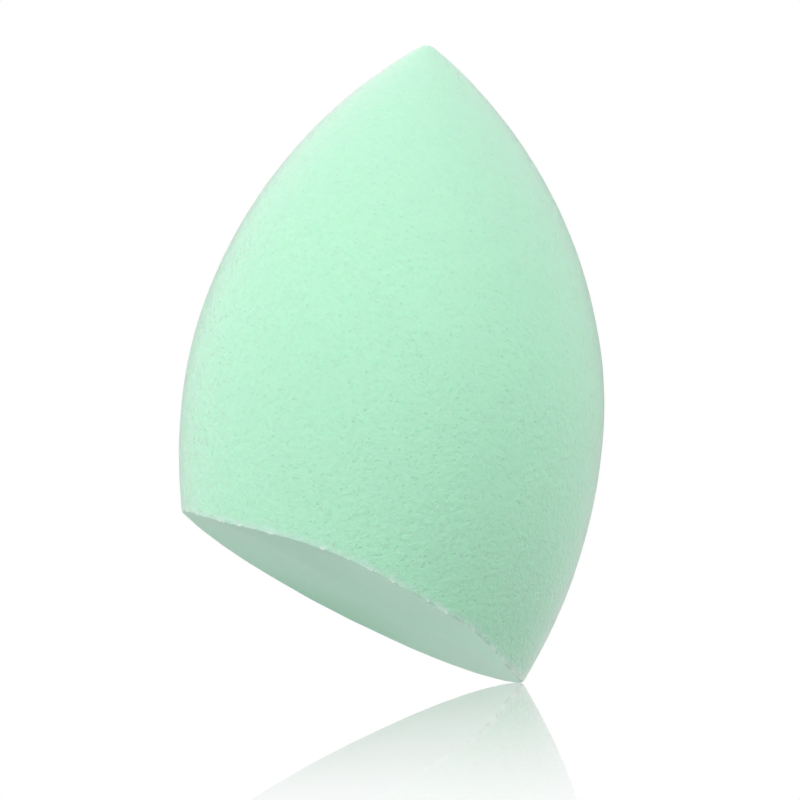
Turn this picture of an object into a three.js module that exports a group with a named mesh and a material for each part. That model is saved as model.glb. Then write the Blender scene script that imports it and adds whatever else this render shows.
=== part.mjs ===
// Makeup sponge: one teardrop of soft foam, cut slantwise across its wide end. Millimetres, +Z up.
// The flat cut face rests on z = 0 with its centre at the origin, and the tip leans towards -X.
import * as THREE from "three";

// Driving dimensions
const diameter = 40; // across the widest ring
const tipHeight = 36; // from the widest ring up to the tip
const shoulderRadius = 39.2; // bulge of the outline just above the widest ring
const shoulderHeight = 9.8; // the shoulder arc ends here and the flatter nose arc begins
const tipRadius = 1.2; // the rounded point
const heelRadius = 52.5; // curve of the outline below the widest ring
const cutDepth = 17.2; // from the widest ring down to where the cut crosses the axis
const cutAngle = THREE.MathUtils.degToRad(23.4); // slant of the cut, deepest at +X
const rimRadius = 0.6; // rounding of the soft edge all round the cut

// Mesh fineness
const meridians = 80;
const sideRings = 30;
const rimRings = 4;

// The outline of a meridian, as x = distance from the axis and y = height above the widest ring.
// Each arc has its middle and radius, and it starts where the one below it ends, in the same direction.
const heel = { middle: new THREE.Vector2(diameter / 2 - heelRadius, 0), radius: heelRadius };
const shoulder = { middle: new THREE.Vector2(diameter / 2 - shoulderRadius, 0), radius: shoulderRadius };
const tip = { middle: new THREE.Vector2(0, tipHeight - tipRadius), radius: tipRadius };
const nose = arcOnto(pointAt(shoulder, shoulderHeight), shoulder, tip);
const tipStart = touchPoint(nose, tip).y;

// The point of an arc at a height.
function pointAt(arc, height) {
  const rise = height - arc.middle.y;
  return new THREE.Vector2(arc.middle.x + Math.sqrt(Math.max(arc.radius ** 2 - rise ** 2, 0)), height);
}

// The arc that leaves `from` at `start` in its direction and then touches the smaller arc `to` inside it.
function arcOnto(start, from, to) {
  const outward = start.clone().sub(from.middle).normalize();
  const reach = start.clone().sub(to.middle);
  const radius = (reach.lengthSq() - to.radius ** 2) / (2 * (outward.dot(reach) - to.radius));
  return { middle: start.clone().addScaledVector(outward, -radius), radius };
}

// Where a large arc touches the smaller one inside it.
function touchPoint(large, small) {
  const outward = small.middle.clone().sub(large.middle).normalize();
  return small.middle.clone().addScaledVector(outward, small.radius);
}

// The whole outline's point at a height, from the heel up to the tip.
function outlinePoint(height) {
  if (height < 0) return pointAt(heel, height);
  if (height < shoulderHeight) return pointAt(shoulder, height);
  return pointAt(height < tipStart ? nose : tip, height);
}

// The middle of the rim's rounding where the cut falls with `slope` across the meridian: one rim radius
// above the cut and one inside the outline, whichever arc the cut reaches there.
function rimMiddle(slope) {
  const lift = rimRadius * Math.hypot(1, slope) - cutDepth;
  for (const arc of [heel, shoulder]) {
    // The line y = lift - slope x meets the circle drawn one rim radius inside the arc.
    const inside = arc.radius - rimRadius;
    const a = 1 + slope ** 2;
    const b = arc.middle.x + slope * lift;
    const c = arc.middle.x ** 2 + lift ** 2 - inside ** 2;
    const x = (b + Math.sqrt(Math.max(b ** 2 - a * c, 0))) / a;
    const middle = new THREE.Vector2(x, lift - slope * x);
    if (arc === shoulder || middle.y <= 0) return { middle, arc };
  }
}

// One meridian's points from just below the tip, down the side and round the rim to the flat cut.
function meridianPoints(turn) {
  const slope = Math.tan(cutAngle) * Math.cos(turn);
  const { middle, arc } = rimMiddle(slope);
  const outward = middle.clone().sub(arc.middle).normalize();
  const rimTop = middle.y + rimRadius * outward.y;
  const points = [];
  for (let ring = 1; ring <= sideRings; ring++) {
    // Squared shares crowd the rings towards the tip, where the outline turns fastest.
    points.push(outlinePoint(tipHeight - (tipHeight - rimTop) * (ring / sideRings) ** 2));
  }
  const startAngle = outward.angle() > Math.PI ? outward.angle() - 2 * Math.PI : outward.angle();
  const endAngle = -Math.PI / 2 - Math.atan(slope);
  for (let ring = 1; ring <= rimRings; ring++) {
    const angle = THREE.MathUtils.lerp(startAngle, endAngle, ring / rimRings);
    points.push(new THREE.Vector2(Math.cos(angle), Math.sin(angle)).multiplyScalar(rimRadius).add(middle));
  }
  return points;
}

// The closed skin: every meridian joined to the next, from the tip to the middle of the flat cut.
function foamGeometry() {
  const rings = sideRings + rimRings;
  const corners = [0, 0, tipHeight, 0, 0, -cutDepth];
  const faces = [];
  const tipCorner = 0;
  const cutCorner = 1;
  const firstCorner = 2;
  const corner = (meridian, ring) => firstCorner + (meridian % meridians) * rings + ring;
  for (let meridian = 0; meridian < meridians; meridian++) {
    const turn = (2 * Math.PI * meridian) / meridians;
    for (const point of meridianPoints(turn)) {
      corners.push(point.x * Math.cos(turn), point.x * Math.sin(turn), point.y);
    }
    faces.push(tipCorner, corner(meridian, 0), corner(meridian + 1, 0));
    for (let ring = 1; ring < rings; ring++) {
      const upper = [corner(meridian, ring - 1), corner(meridian + 1, ring - 1)];
      const lower = [corner(meridian, ring), corner(meridian + 1, ring)];
      faces.push(upper[0], lower[0], lower[1], upper[0], lower[1], upper[1]);
    }
    faces.push(cutCorner, corner(meridian + 1, rings - 1), corner(meridian, rings - 1));
  }
  const geometry = new THREE.BufferGeometry();
  geometry.setAttribute("position", new THREE.Float32BufferAttribute(corners, 3));
  geometry.setIndex(faces);
  geometry.computeVertexNormals();
  return geometry;
}

// The middle of the flat cut face, between its shallow edge and its deep one.
function cutFaceMiddle() {
  const deep = meridianPoints(0).at(-1);
  const shallow = meridianPoints(Math.PI).at(-1);
  return new THREE.Vector3((deep.x - shallow.x) / 2, 0, (deep.y + shallow.y) / 2);
}

function foamBody() {
  const foam = new THREE.MeshStandardMaterial({ color: 0xbdf2d6, roughness: 0.9, metalness: 0 });
  const body = new THREE.Mesh(foamGeometry(), foam);
  body.name = "foam_body";
  body.rotation.y = -cutAngle;
  body.position.copy(cutFaceMiddle().applyEuler(body.rotation).negate());
  return body;
}

const makeupSponge = new THREE.Group();
makeupSponge.add(foamBody());

export default makeupSponge;
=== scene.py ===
"""Makeup sponge: the looks of a slant-cut teardrop of soft foam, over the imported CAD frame. Metres, +Z up."""

import math

import bpy
import numpy as np
from mathutils import Matrix, Vector, noise


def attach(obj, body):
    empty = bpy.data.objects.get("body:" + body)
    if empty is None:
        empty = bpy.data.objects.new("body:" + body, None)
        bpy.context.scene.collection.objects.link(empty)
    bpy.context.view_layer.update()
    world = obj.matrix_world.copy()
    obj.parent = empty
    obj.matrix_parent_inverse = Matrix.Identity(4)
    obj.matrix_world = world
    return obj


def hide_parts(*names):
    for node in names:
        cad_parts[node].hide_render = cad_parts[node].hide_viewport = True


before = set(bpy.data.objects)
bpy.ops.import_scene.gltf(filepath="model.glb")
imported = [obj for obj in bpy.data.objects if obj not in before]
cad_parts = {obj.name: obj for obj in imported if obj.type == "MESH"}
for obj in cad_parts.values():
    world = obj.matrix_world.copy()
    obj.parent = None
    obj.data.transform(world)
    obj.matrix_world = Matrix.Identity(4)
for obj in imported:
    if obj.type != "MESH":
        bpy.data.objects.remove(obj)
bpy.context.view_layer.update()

MM = 0.001

# The foam's outline and cut, as in the CAD solid
DIAMETER = 40 * MM
TIP_HEIGHT = 36 * MM
SHOULDER_RADIUS = 39.2 * MM
SHOULDER_HEIGHT = 9.8 * MM
TIP_RADIUS = 1.2 * MM
HEEL_RADIUS = 52.5 * MM
CUT_DEPTH = 17.2 * MM
CUT_ANGLE = math.radians(23.4)
RIM_RADIUS = 0.6 * MM

# Stations round the cut start with the degrees from its deep side.
# How much deeper than the cut's mean plane the blade ran
WAVE_STATIONS = (
    (-225, 0),
    (-169, 1.3 * MM),
    (-118, 0),
    (-85, 0),
    (-52, 0.95 * MM),
    (-22, 0.42 * MM),
    (16, 0),
)
# How round the blade left the rim
RIM_STATIONS = (
    (-212, 0.2 * MM),
    (-80, 0.1 * MM),
    (-42, 0.1 * MM),
    (-26, 0.5 * MM),
    (-12, 0.85 * MM),
    (10, RIM_RADIUS),
    (120, RIM_RADIUS),
)
# How much of a torn lip the blade left, how pale the rim is (its pale torn lip, and painted light along the rim
# at the deep corner), and how dark the painted shade on the cut is along its edge
LIP_SHARES = ((-205, 0), (-185, 0.6), (-120, 0.7), (-80, 1), (-62, 1), (-45, 0))
PALE_LIP_AND_PAINTED_LIGHT_SHARES = ((-205, 0), (-180, 0.8), (-64, 0.8), (-45, 2.2), (-15, 2.2), (10, 0))
PAINTED_SHADE_SHARES = ((-115, 0), (-25, 0), (20, 0.05), (80, 1), (125, 0.3), (200, 0.2))

# The torn lip: how far it stands out, its tufts, how much of it is broken away, and how its paleness (with the
# painted light at the deep corner) spreads over the foam
LIP_REACH = 0.2 * MM
TUFT_SIZE = 0.42 * MM
TUFTS_PER_CLUMP = 3
TUFT_CONTRAST = 1.5
BROKEN_SHARE = 0.5
LIP_BAND_SHARE = 0.014
LIP_FADE_POWER = 4

# How dark the cut's painted shade is in its middle, and how steeply that changes towards its edge
MIDDLE_PAINTED_SHADE_SHARE = 0.34
PAINTED_SHADE_POWER = 1.2

# The foam's slight lumps
LUMP_DEPTH = 0.03 * MM
LUMP_SIZE = 2.5 * MM

# Mesh fineness
MERIDIANS = 960
SIDE_RINGS = 64
SIDE_CROWDING = 1.6
BAND_RINGS = 8
BAND_SHARE = 0.03
RIM_RINGS = 10
FACE_RINGS = 18
FACE_CROWDING = 1.8

# The foam's grain, its open cells and the lip's fine tufts
GRAIN_SIZE = 0.6 * MM
GRAIN_DETAIL = 3.0
GRAIN_SHARES = (0.3, 0.7)
OCTAVE_SHARE = 0.53
FINE_DETAIL = 1.0
FINE_TUFT_SIZE = 0.35 * MM
FINE_TUFT_SHARES = (0.28, 0.56)
SMALL_CELL_SPACING = 0.38 * MM
SMALL_CELL_RADIUS = 0.18 * MM
LARGE_CELL_SPACING = 0.9 * MM
LARGE_CELL_RADIUS = 0.22 * MM
CLOSED_CELL_SHARE = 0.3
CELL_WARP_SIZE = 0.4 * MM
CELL_WARP_REACH = 0.35 * MM
# How much the open cells are darkened in colour: painted shade in their hollows
CELL_PAINTED_SHADE_SHARE = 0.15
CELL_DEPTH_SHARE = 0.5

# The skin turns paler and whiter towards the nose between two heights (painted sheen of the light from above),
# and its grain grows flatter between two others
PAINTED_SHEEN_HEIGHTS = (25 * MM, 49 * MM)
FLATTENING_HEIGHTS = (4 * MM, 36 * MM)
FLAT_GRAIN_SHARE = 0.64

# The surface of the skin and of the cut: depth of the bump, sheen and reach of the light in the foam
SKIN_BUMP = 0.18 * MM
SKIN_SHEEN_SHARE = 0.95
SKIN_SCATTER = 2 * MM
CUT_BUMP = 0.06 * MM
CUT_SHEEN_SHARE = 0.3
CUT_SCATTER = 0.3 * MM
FOAM_SETTINGS = {
    "Roughness": 0.85,
    "Specular IOR Level": 0.25,
    "Subsurface Weight": 0.5,
    "Subsurface Radius": (0.6, 1.2, 0.8),
    "Sheen Roughness": 0.4,
}

# Colours
SKIN_COLOURS = ((0.495, 0.877, 0.645, 1), (0.516, 0.906, 0.671, 1))
# Painted sheen: the skin paler and whiter towards the nose, where light from above falls
PAINTED_SHEEN_COLOUR = (0.512, 0.84, 0.65, 1)
# Painted shade in the open cells' hollows
CELL_PAINTED_SHADE_COLOUR = (0.30, 0.60, 0.40, 1)
CUT_COLOURS = ((0.572, 0.965, 0.732, 1), (0.592, 0.985, 0.752, 1))
# Painted shade on the cut
CUT_PAINTED_SHADE_COLOUR = (0.33, 0.75, 0.51, 1)
# Pale torn lip, also used for painted light along the rim at the deep corner
LIP_AND_PAINTED_LIGHT_COLOUR = (0.65, 0.92, 0.76, 1)
FLOOR_COLOUR = (0.9, 0.9, 0.9, 1)
SOFT_LIGHT_COLOUR = (0.95, 1, 0.96, 1)
WHITE = (1, 1, 1, 1)

# The photograph's view of the foam
IMAGE_SIDE = 800
PIXELS_PER_METRE = 10573
RING_CENTRE_PIXEL = (392.0, 424.0)
CAMERA_DISTANCE = 850 * MM
CUT_TURN = math.radians(24.9)
ROLL = math.radians(5.34)

# The floor that the foam stands on in the views from above
FLOOR_RADIUS = 600 * MM
FLOOR_FADE_RADIUS = 150 * MM
FLOOR_SIDES = 96
FLOOR_DROP = 0.1 * MM

# The glossy table under the foam's lowest point in the photograph, which rises a little towards the camera.
# It shines where the look is glancing: from the first share of the way to a grazing look to the second.
GLOSS_RISE = math.radians(1.4)
GLOSS_SIDE = 60 * MM
GLOSS_REACH = 600 * MM
GLOSS_SHARE = 0.7
GLANCING_SHARES = (0.9, 0.95)

# The lights. A softbox has its direction, as the picture's (right, up, away), and its power in watts.
WORLD_STRENGTH = 0.295
SOFTBOX_DISTANCE = 600 * MM
SOFTBOX_SIDE = 500 * MM
SOFTBOXES = {
    "front_left_softbox": ((-0.7, 0.3, -0.7), 2.12),
    "front_right_softbox": ((0.6, 0.4, -0.7), 1.05),
    "left_softbox": ((-1, 0, -0.3), 0.58),
    "upper_right_softbox": ((0.7, 0.7, -0.2), 1.24),
    "back_left_softbox": ((-1, 0.2, 0.7), 0.72),
    "back_right_softbox": ((1, 0.2, 0.7), 0.62),
    "back_top_softbox": ((-0.3, 0.8, 0.5), 0.95),
    "under_softbox": ((-0.1, -1, -0.2), 0.28),
    "low_right_softbox": ((1, -0.8, 0), 0.15),
}


def arc_point(middle, radius, height):
    """Distance from the axis of an arc's outer side at each height."""
    rise = height - middle[1]
    return middle[0] + np.sqrt(np.maximum(radius**2 - rise**2, 0))


# The outline's arcs: middles are (distance from the axis, height above the widest ring)
HEEL_MIDDLE = np.array([DIAMETER / 2 - HEEL_RADIUS, 0])
SHOULDER_MIDDLE = np.array([DIAMETER / 2 - SHOULDER_RADIUS, 0])
TIP_MIDDLE = np.array([0, TIP_HEIGHT - TIP_RADIUS])
NOSE_START = np.array([arc_point(SHOULDER_MIDDLE, SHOULDER_RADIUS, SHOULDER_HEIGHT), SHOULDER_HEIGHT])


def nose_arc():
    """The arc that leaves the shoulder in its direction and touches the round tip: its middle and radius."""
    outward = (NOSE_START - SHOULDER_MIDDLE) / SHOULDER_RADIUS
    reach = NOSE_START - TIP_MIDDLE
    radius = (reach @ reach - TIP_RADIUS**2) / (2 * (outward @ reach - TIP_RADIUS))
    return NOSE_START - outward * radius, radius


NOSE_MIDDLE, NOSE_RADIUS = nose_arc()
TIP_OUTWARD = (TIP_MIDDLE - NOSE_MIDDLE) / np.linalg.norm(TIP_MIDDLE - NOSE_MIDDLE)
TIP_START = TIP_MIDDLE[1] + TIP_OUTWARD[1] * TIP_RADIUS


def outline_radius(height):
    """Distance from the axis of the foam's outline at each height above the widest ring."""
    return np.select(
        [height < 0, height < SHOULDER_HEIGHT, height < TIP_START],
        [
            arc_point(HEEL_MIDDLE, HEEL_RADIUS, height),
            arc_point(SHOULDER_MIDDLE, SHOULDER_RADIUS, height),
            arc_point(NOSE_MIDDLE, NOSE_RADIUS, height),
        ],
        arc_point(TIP_MIDDLE, TIP_RADIUS, height),
    )


def hump(share):
    """A smooth hump: 1 at 0, falling to 0 at -1 and 1."""
    return np.where(np.abs(share) < 1, (1 + np.cos(math.pi * share)) / 2, 0)


def eased(turns, stations):
    """A smooth curve round the cut through the stations (degrees, value), which overshoots none of them."""
    at = np.radians([degrees for degrees, value in stations])
    values = np.array([value for degrees, value in stations])
    gaps = np.diff(np.append(at, at[0] + 2 * math.pi))
    rises = (np.roll(values, -1) - values) / gaps
    before = np.roll(rises, 1)
    steady = before * rises > 0
    slopes = np.divide(2 * before * rises, before + rises, out=np.zeros_like(rises), where=steady)
    after = (turns - at[0]) % (2 * math.pi)
    station = np.searchsorted(at - at[0], after, side="right") - 1
    following = (station + 1) % len(values)
    share = (after - (at - at[0])[station]) / gaps[station]
    level = values[station] + (values[following] - values[station]) * share**2 * (3 - 2 * share)
    bend = (1 - share) * slopes[station] - share * slopes[following]
    return level + gaps[station] * share * (1 - share) * bend


def rim_middle(slope, depth, radius):
    """The middle of the rim's rounding where the cut falls with `slope` across a meridian."""
    # The line y = lift - slope x meets the circle drawn one rim radius inside the heel's arc.
    lift = radius * np.hypot(1, slope) - depth
    inside = HEEL_RADIUS - radius
    stretch = 1 + slope**2
    middle = HEEL_MIDDLE[0] + slope * lift
    rest = HEEL_MIDDLE[0] ** 2 + lift**2 - inside**2
    x = (middle + np.sqrt(middle**2 - stretch * rest)) / stretch
    return x, lift - slope * x


def cut_edge(slope, depth, radius):
    """The point of a meridian where the rim's rounding meets the cut."""
    x, y = rim_middle(slope, depth, radius)
    end = -math.pi / 2 - np.arctan(slope)
    return x + radius * np.cos(end), y + radius * np.sin(end)


def ragged(turns):
    """How far the torn lip stands out, or is broken away, at each meridian, from -1 to 1."""
    out = []
    for turn in turns:
        at = Vector((math.cos(turn), math.sin(turn), 0)) * DIAMETER / 2 / TUFT_SIZE
        out.append(noise.noise(at / TUFTS_PER_CLUMP) + noise.noise(at))
    return np.clip(np.array(out) * TUFT_CONTRAST, -BROKEN_SHARE, 1) * eased(turns, LIP_SHARES)


def foam_rings():
    """The rings from the tip to the middle of the cut, in the foam's own upright frame, and how much each
    point takes the pale colour of the torn lip and of the painted light at the deep corner, and the cut's
    painted shade."""
    turns = np.arange(MERIDIANS) * 2 * math.pi / MERIDIANS
    slope = math.tan(CUT_ANGLE) * np.cos(turns)
    wave = eased(turns, WAVE_STATIONS)
    rim = eased(turns, RIM_STATIONS)
    rim_x, rim_y = rim_middle(slope, CUT_DEPTH + wave, rim)
    start = np.arctan2(rim_y, rim_x - HEEL_MIDDLE[0])
    end = -math.pi / 2 - np.arctan(slope)
    top = rim_y + rim * np.sin(start)
    torn = ragged(turns)
    # The pale torn lip, and painted light along the rim at the deep corner
    lip = eased(turns, PALE_LIP_AND_PAINTED_LIGHT_SHARES) + np.maximum(torn, 0)
    # Painted shade on the cut: darker along its far edge, paler along its near edge and at the deep corner
    painted_shade = eased(turns, PAINTED_SHADE_SHARES)
    none = 0 * turns
    rings = []

    # The side, with a band of close rings above the rim
    upper = (np.arange(1, SIDE_RINGS + 1) / SIDE_RINGS) ** SIDE_CROWDING * (1 - BAND_SHARE)
    band = 1 - BAND_SHARE + BAND_SHARE * np.arange(1, BAND_RINGS + 1) / BAND_RINGS
    for share in np.concatenate([upper, band]):
        height = TIP_HEIGHT - (TIP_HEIGHT - top) * share
        rings.append((outline_radius(height), height, lip * max(1 - (1 - share) / LIP_BAND_SHARE, 0), none))
    # The rim's rounding
    for share in np.arange(1, RIM_RINGS + 1) / RIM_RINGS:
        angle = start + (end - start) * share
        out = rim + torn * LIP_REACH * hump(2 * share - 1)
        paleness = lip * (1 - share**LIP_FADE_POWER)
        rings.append((rim_x + out * np.cos(angle), rim_y + out * np.sin(angle), paleness, painted_shade))
    # The cut, which grows flat towards its middle
    edge_x, edge_y = cut_edge(slope, CUT_DEPTH + wave, rim)
    for share in (np.arange(FACE_RINGS - 1, 0, -1) / FACE_RINGS) ** (1 / FACE_CROWDING):
        flat = -CUT_DEPTH + (edge_y + wave + CUT_DEPTH) * share
        # Painted shade, running from its value at the edge to the middle's
        painted_shading = MIDDLE_PAINTED_SHADE_SHARE + (painted_shade - MIDDLE_PAINTED_SHADE_SHARE) * share**PAINTED_SHADE_POWER
        rings.append((edge_x * share, flat - wave * share**2, none, painted_shading))

    radii, heights, *shares = np.array(rings).transpose(1, 0, 2)
    points = np.stack([radii * np.cos(turns), radii * np.sin(turns), heights], axis=-1)
    return points, shares


def to_row_frame():
    """Turns the upright foam so that its cut's mean plane is z = 0 with its middle at the origin."""
    slope = math.tan(CUT_ANGLE)
    deep_x, deep_y = cut_edge(slope, CUT_DEPTH, RIM_RADIUS)
    shallow_x, shallow_y = cut_edge(-slope, CUT_DEPTH, RIM_RADIUS)
    middle = Vector(((deep_x - shallow_x) / 2, 0, (deep_y + shallow_y) / 2))
    lean = Matrix.Rotation(-CUT_ANGLE, 4, "Y")
    return Matrix.Translation(-(lean @ middle)) @ lean


TO_ROW = to_row_frame()

# The picture's directions in the row frame: the camera looks level at the upright foam, rolled a little
TURN = Matrix.Rotation(-CUT_TURN, 3, "Z")
RIGHT = TO_ROW.to_3x3() @ TURN @ Vector((math.cos(ROLL), 0, math.sin(ROLL)))
UP = TO_ROW.to_3x3() @ TURN @ Vector((-math.sin(ROLL), 0, math.cos(ROLL)))
AWAY = TO_ROW.to_3x3() @ TURN @ Vector((0, 1, 0))


def lump(point):
    """How far the foam's slight lumps raise its skin at a point."""
    return noise.noise(point / LUMP_SIZE) * LUMP_DEPTH


def new_tree(block):
    """A clean node tree for a material or world."""
    block.use_nodes = True
    block.node_tree.nodes.clear()
    return block.node_tree


def add_node(tree, kind, links=None, **values):
    """Adds a node with these settings, and fills its inputs with numbers or with other nodes' outputs."""
    made = tree.nodes.new(kind)
    for name, value in values.items():
        setattr(made, name, value)
    for name, source in (links or {}).items():
        if hasattr(source, "is_output"):
            tree.links.new(source, made.inputs[name])
        else:
            made.inputs[name].default_value = source
    return made


def math_node(tree, operation, first, second):
    """One calculation with two values."""
    return add_node(tree, "ShaderNodeMath", {0: first, 1: second}, operation=operation).outputs[0]


def mix_colours(tree, share, first, second):
    """The first colour where share is 0, and the second where it is 1."""
    colours = {"Factor": share, 6: first, 7: second}
    return add_node(tree, "ShaderNodeMix", colours, data_type="RGBA").outputs[2]


def spread(tree, value, low, high, start=0.0, end=1.0):
    """Stretches the values from low to high onto start to end."""
    sizes = {"Value": value, "From Min": low, "From Max": high, "To Min": start, "To Max": end}
    return add_node(tree, "ShaderNodeMapRange", sizes).outputs[0]


def show_mix(tree, share, first, second):
    """Shows the first shader where share is 0, and the second where it is 1."""
    mix = add_node(tree, "ShaderNodeMixShader", {0: share, 1: first.outputs[0], 2: second.outputs[0]})
    add_node(tree, "ShaderNodeOutputMaterial", {"Surface": mix.outputs[0]})


def noise_node(tree, where, size, detail):
    """Noise whose coarsest spots are `size` apart."""
    sizes = {"Vector": where, "Scale": 1 / size, "Detail": detail, "Roughness": OCTAVE_SHARE}
    return add_node(tree, "ShaderNodeTexNoise", sizes).outputs


def spots(tree, where, spacing, radius):
    """Round spots about `spacing` apart, 1 in their middles, with only some of them open."""
    cells = add_node(tree, "ShaderNodeTexVoronoi", {"Vector": where, "Scale": 1 / spacing})
    round_spot = spread(tree, cells.outputs["Distance"], radius / spacing, 0)
    pick = add_node(tree, "ShaderNodeSeparateColor", {0: cells.outputs["Color"]}).outputs[0]
    return math_node(tree, "MULTIPLY", round_spot, spread(tree, pick, CLOSED_CELL_SHARE, 1))


def open_cells(tree, where):
    """The foam's open cells: 1 in their middles."""
    warp = noise_node(tree, where, CELL_WARP_SIZE, FINE_DETAIL)["Color"]
    push = add_node(tree, "ShaderNodeVectorMath", {0: warp, "Scale": CELL_WARP_REACH}, operation="SCALE")
    bent = add_node(tree, "ShaderNodeVectorMath", {0: where, 1: push.outputs[0]}, operation="ADD").outputs[0]
    small = spots(tree, bent, SMALL_CELL_SPACING, SMALL_CELL_RADIUS)
    large = spots(tree, where, LARGE_CELL_SPACING, LARGE_CELL_RADIUS)
    return math_node(tree, "MAXIMUM", small, large)


def share_of(tree, name):
    """One of the foam mesh's shares."""
    return add_node(tree, "ShaderNodeAttribute", attribute_name=name).outputs["Fac"]


def pale_lip_and_painted_light(tree, where, colour):
    """Adds the pale, fine tufts of the torn lip to a colour, and the painted light along the rim at the deep
    corner.
    """
    tufts = spread(tree, noise_node(tree, where, FINE_TUFT_SIZE, FINE_DETAIL)["Fac"], *FINE_TUFT_SHARES)
    paleness = math_node(tree, "MULTIPLY", share_of(tree, "lip_and_painted_light_share"), tufts)
    return mix_colours(tree, paleness, colour, LIP_AND_PAINTED_LIGHT_COLOUR)


def foam_shader(tree, colour, height, bump, sheen, scatter):
    """Shows soft, matt foam with this colour and relief."""
    relief = add_node(tree, "ShaderNodeBump", {"Height": height, "Distance": bump}).outputs[0]
    settings = FOAM_SETTINGS | {"Sheen Weight": sheen, "Subsurface Scale": scatter}
    shader = add_node(tree, "ShaderNodeBsdfPrincipled", settings | {"Base Color": colour, "Normal": relief})
    add_node(tree, "ShaderNodeOutputMaterial", {"Surface": shader.outputs[0]})


def skin_material():
    """The foam's moulded skin, with fine grain and open cells."""
    material = bpy.data.materials.new("foam_skin")
    tree = new_tree(material)
    where = add_node(tree, "ShaderNodeTexCoord").outputs["Object"]
    grain = noise_node(tree, where, GRAIN_SIZE, GRAIN_DETAIL)["Fac"]
    cells = open_cells(tree, where)
    up = add_node(tree, "ShaderNodeSeparateXYZ", {0: where}).outputs["Z"]
    colour = mix_colours(tree, spread(tree, grain, *GRAIN_SHARES), *SKIN_COLOURS)
    # Painted shade in the open cells' hollows
    colour = mix_colours(tree, math_node(tree, "MULTIPLY", cells, CELL_PAINTED_SHADE_SHARE), colour, CELL_PAINTED_SHADE_COLOUR)
    # Painted sheen: paler and whiter towards the nose
    colour = mix_colours(tree, spread(tree, up, *PAINTED_SHEEN_HEIGHTS), colour, PAINTED_SHEEN_COLOUR)
    # The pale torn lip, and painted light along the rim at the deep corner
    colour = pale_lip_and_painted_light(tree, where, colour)
    height = math_node(tree, "SUBTRACT", grain, math_node(tree, "MULTIPLY", cells, CELL_DEPTH_SHARE))
    flattening = spread(tree, up, *FLATTENING_HEIGHTS, 1, FLAT_GRAIN_SHARE)
    height = math_node(tree, "MULTIPLY", height, flattening)
    foam_shader(tree, colour, height, SKIN_BUMP, SKIN_SHEEN_SHARE, SKIN_SCATTER)
    return material


def cut_material():
    """The foam's smoother inside, which the cut lays open."""
    material = bpy.data.materials.new("foam_cut")
    tree = new_tree(material)
    where = add_node(tree, "ShaderNodeTexCoord").outputs["Object"]
    grain = noise_node(tree, where, GRAIN_SIZE, GRAIN_DETAIL)["Fac"]
    colour = mix_colours(tree, spread(tree, grain, *GRAIN_SHARES), *CUT_COLOURS)
    # Painted shade on the cut: darker towards its far edge, paler along its near edge and at the deep corner
    colour = mix_colours(tree, share_of(tree, "painted_shade_share"), colour, CUT_PAINTED_SHADE_COLOUR)
    colour = pale_lip_and_painted_light(tree, where, colour)
    foam_shader(tree, colour, grain, CUT_BUMP, CUT_SHEEN_SHARE, CUT_SCATTER)
    return material


def add_object(name, data):
    """Puts a new object in the scene."""
    made = bpy.data.objects.new(name, data)
    bpy.context.scene.collection.objects.link(made)
    return made


def foam_mesh():
    """The closed skin: every meridian joined to the next, from the tip to the middle of the cut."""
    rings, shares = foam_rings()
    count = len(rings)
    points = [(0, 0, TIP_HEIGHT), (0, 0, -CUT_DEPTH)] + [tuple(point) for point in rings.reshape(-1, 3)]
    tip_corner = 0
    cut_corner = 1
    first_corner = 2
    last_ring = (count - 1) * MERIDIANS
    faces = []
    for turn in range(MERIDIANS):
        near = first_corner + turn
        far = first_corner + (turn + 1) % MERIDIANS
        faces.append((tip_corner, near, far))
        for ring in range(count - 1):
            above = ring * MERIDIANS
            below = above + MERIDIANS
            faces.append((near + above, near + below, far + below, far + above))
        faces.append((cut_corner, far + last_ring, near + last_ring))
    mesh = bpy.data.meshes.new("foam")
    mesh.from_pydata(points, [], faces)
    mesh.update()
    raised = [vertex.co + vertex.normal * lump(vertex.co) for vertex in mesh.vertices]
    mesh.vertices.foreach_set("co", np.array(raised).ravel())
    mesh.transform(TO_ROW)
    mesh.shade_smooth()
    cut_corner_shares = {"lip_and_painted_light_share": 0, "painted_shade_share": MIDDLE_PAINTED_SHADE_SHARE}
    for (name, cut_corner_share), share in zip(cut_corner_shares.items(), shares):
        layer = mesh.attributes.new(name, "FLOAT", "POINT")
        layer.data.foreach_set("value", np.concatenate([[0, cut_corner_share], share.ravel()]))
    skin_rings = SIDE_RINGS + BAND_RINGS + RIM_RINGS
    mesh.materials.append(skin_material())
    mesh.materials.append(cut_material())
    material_indices = [0] * skin_rings + [1] * (count + 1 - skin_rings)
    mesh.polygons.foreach_set("material_index", material_indices * MERIDIANS)
    return mesh


def make_foam():
    """The sponge itself, in place of its plain CAD solid."""
    foam = add_object("foam", foam_mesh())
    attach(foam, "root")
    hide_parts("foam_body")
    return foam


def make_camera():
    """The photograph's camera, level with the foam's widest ring."""
    data = bpy.data.cameras.new("camera")
    data.lens = data.sensor_width * PIXELS_PER_METRE * CAMERA_DISTANCE / IMAGE_SIDE
    camera = add_object("camera", data)
    across = (IMAGE_SIDE / 2 - RING_CENTRE_PIXEL[0]) / PIXELS_PER_METRE
    down = (IMAGE_SIDE / 2 - RING_CENTRE_PIXEL[1]) / PIXELS_PER_METRE
    place = TO_ROW.translation + RIGHT * across - UP * down - AWAY * CAMERA_DISTANCE
    turn = Matrix((RIGHT, UP, -AWAY)).transposed().to_4x4()
    camera.matrix_world = Matrix.Translation(place) @ turn
    bpy.context.scene.camera = camera


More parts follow.
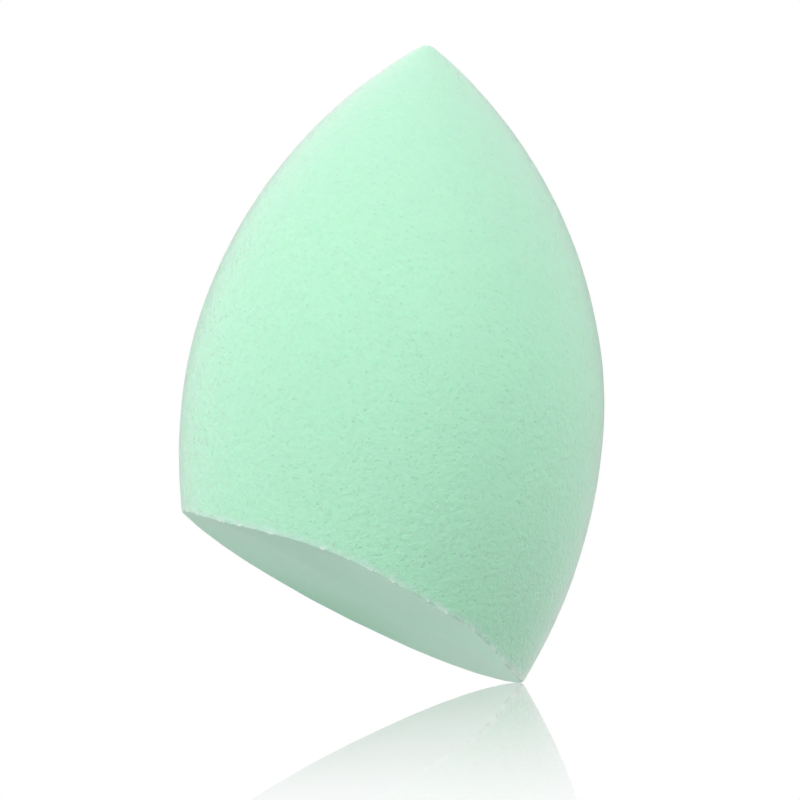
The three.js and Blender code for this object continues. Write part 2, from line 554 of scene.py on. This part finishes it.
def soft_light(name, towards, power):
    """A square soft light in the picture's (right, up, away) direction from the foam, facing the foam."""
    direction = (RIGHT * towards[0] + UP * towards[1] + AWAY * towards[2]).normalized()
    data = bpy.data.lights.new(name, "AREA")
    data.shape = "SQUARE"
    data.size = SOFTBOX_SIDE
    data.energy = power
    light = add_object(name, data)
    light.location = TO_ROW.translation + direction * SOFTBOX_DISTANCE
    light.rotation_mode = "QUATERNION"
    light.rotation_quaternion = direction.to_track_quat("Z", "Y")


def make_world():
    """A white backdrop to the camera and in reflections, and a softer, slightly green light on the foam."""
    world = bpy.data.worlds.new("studio")
    tree = new_tree(world)
    path = add_node(tree, "ShaderNodeLightPath").outputs
    seen = math_node(tree, "MAXIMUM", path["Is Camera Ray"], path["Is Glossy Ray"])
    seen = math_node(tree, "MAXIMUM", seen, path["Is Transmission Ray"])
    soft = add_node(tree, "ShaderNodeBackground", {"Color": SOFT_LIGHT_COLOUR, "Strength": WORLD_STRENGTH})
    white = add_node(tree, "ShaderNodeBackground", {"Color": WHITE, "Strength": 1.0})
    mix = add_node(tree, "ShaderNodeMixShader", {0: seen, 1: soft.outputs[0], 2: white.outputs[0]})
    add_node(tree, "ShaderNodeOutputWorld", {"Surface": mix.outputs[0]})
    bpy.context.scene.world = world


def make_gloss(foam):
    """The glossy table of the photograph under the foam's lowest point, which fades towards the camera."""
    facing = UP * math.cos(GLOSS_RISE) + AWAY * math.sin(GLOSS_RISE)
    towards = UP * math.sin(GLOSS_RISE) - AWAY * math.cos(GLOSS_RISE)
    contact = min((vertex.co for vertex in foam.data.vertices), key=lambda point: point @ facing)
    mesh = bpy.data.meshes.new("gloss")
    corners = [
        (-GLOSS_SIDE, 0, 0),
        (GLOSS_SIDE, 0, 0),
        (GLOSS_SIDE, GLOSS_REACH, 0),
        (-GLOSS_SIDE, GLOSS_REACH, 0),
    ]
    mesh.from_pydata(corners, [], [(0, 1, 2, 3)])
    gloss = add_object("gloss", mesh)
    turn = Matrix((-RIGHT, towards, facing)).transposed().to_4x4()
    gloss.matrix_world = Matrix.Translation(contact) @ turn
    material = bpy.data.materials.new("gloss")
    tree = new_tree(material)
    where = add_node(tree, "ShaderNodeTexCoord").outputs["Object"]
    away = add_node(tree, "ShaderNodeSeparateXYZ", {0: where}).outputs["Y"]
    near = spread(tree, away, 0, GLOSS_REACH)
    shine = spread(tree, math_node(tree, "MULTIPLY", near, near), 0, 1, GLOSS_SHARE, 0)
    glancing = add_node(tree, "ShaderNodeLayerWeight", {"Blend": 0.5}).outputs["Facing"]
    shine = math_node(tree, "MULTIPLY", shine, spread(tree, glancing, *GLANCING_SHARES))
    below = add_node(tree, "ShaderNodeNewGeometry").outputs["Backfacing"]
    shine = math_node(tree, "MULTIPLY", shine, math_node(tree, "SUBTRACT", 1, below))
    clear = add_node(tree, "ShaderNodeBsdfTransparent")
    mirror = add_node(tree, "ShaderNodeBsdfGlossy", {"Color": WHITE, "Roughness": 0.0})
    show_mix(tree, shine, clear, mirror)
    mesh.materials.append(material)
    gloss.visible_diffuse = False
    gloss.visible_glossy = False
    gloss.visible_transmission = False
    gloss.visible_shadow = False


def make_floor():
    """A white floor under the cut, seen from above only, which fades out before its edge."""
    mesh = bpy.data.meshes.new("floor")
    turns = np.arange(FLOOR_SIDES) * 2 * math.pi / FLOOR_SIDES
    ring = [(FLOOR_RADIUS * math.cos(turn), FLOOR_RADIUS * math.sin(turn), -FLOOR_DROP) for turn in turns]
    mesh.from_pydata(ring, [], [tuple(range(FLOOR_SIDES))])
    floor = add_object("floor", mesh)
    material = bpy.data.materials.new("floor")
    tree = new_tree(material)
    where = add_node(tree, "ShaderNodeTexCoord").outputs["Object"]
    away = add_node(tree, "ShaderNodeVectorMath", {0: where}, operation="LENGTH").outputs["Value"]
    below = add_node(tree, "ShaderNodeNewGeometry").outputs["Backfacing"]
    faded = math_node(tree, "MAXIMUM", spread(tree, away, FLOOR_FADE_RADIUS, FLOOR_RADIUS), below)
    white = add_node(tree, "ShaderNodeBsdfDiffuse", {"Color": FLOOR_COLOUR})
    clear = add_node(tree, "ShaderNodeBsdfTransparent")
    show_mix(tree, faded, white, clear)
    mesh.materials.append(material)
    floor.visible_diffuse = False
    floor.visible_glossy = False
    floor.visible_transmission = False
    floor.visible_shadow = False


foam = make_foam()
make_camera()
make_gloss(foam)
make_floor()
make_world()
for name, (towards, power) in SOFTBOXES.items():
    soft_light(name, towards, power)

bpy.context.scene.view_settings.view_transform = "Standard"
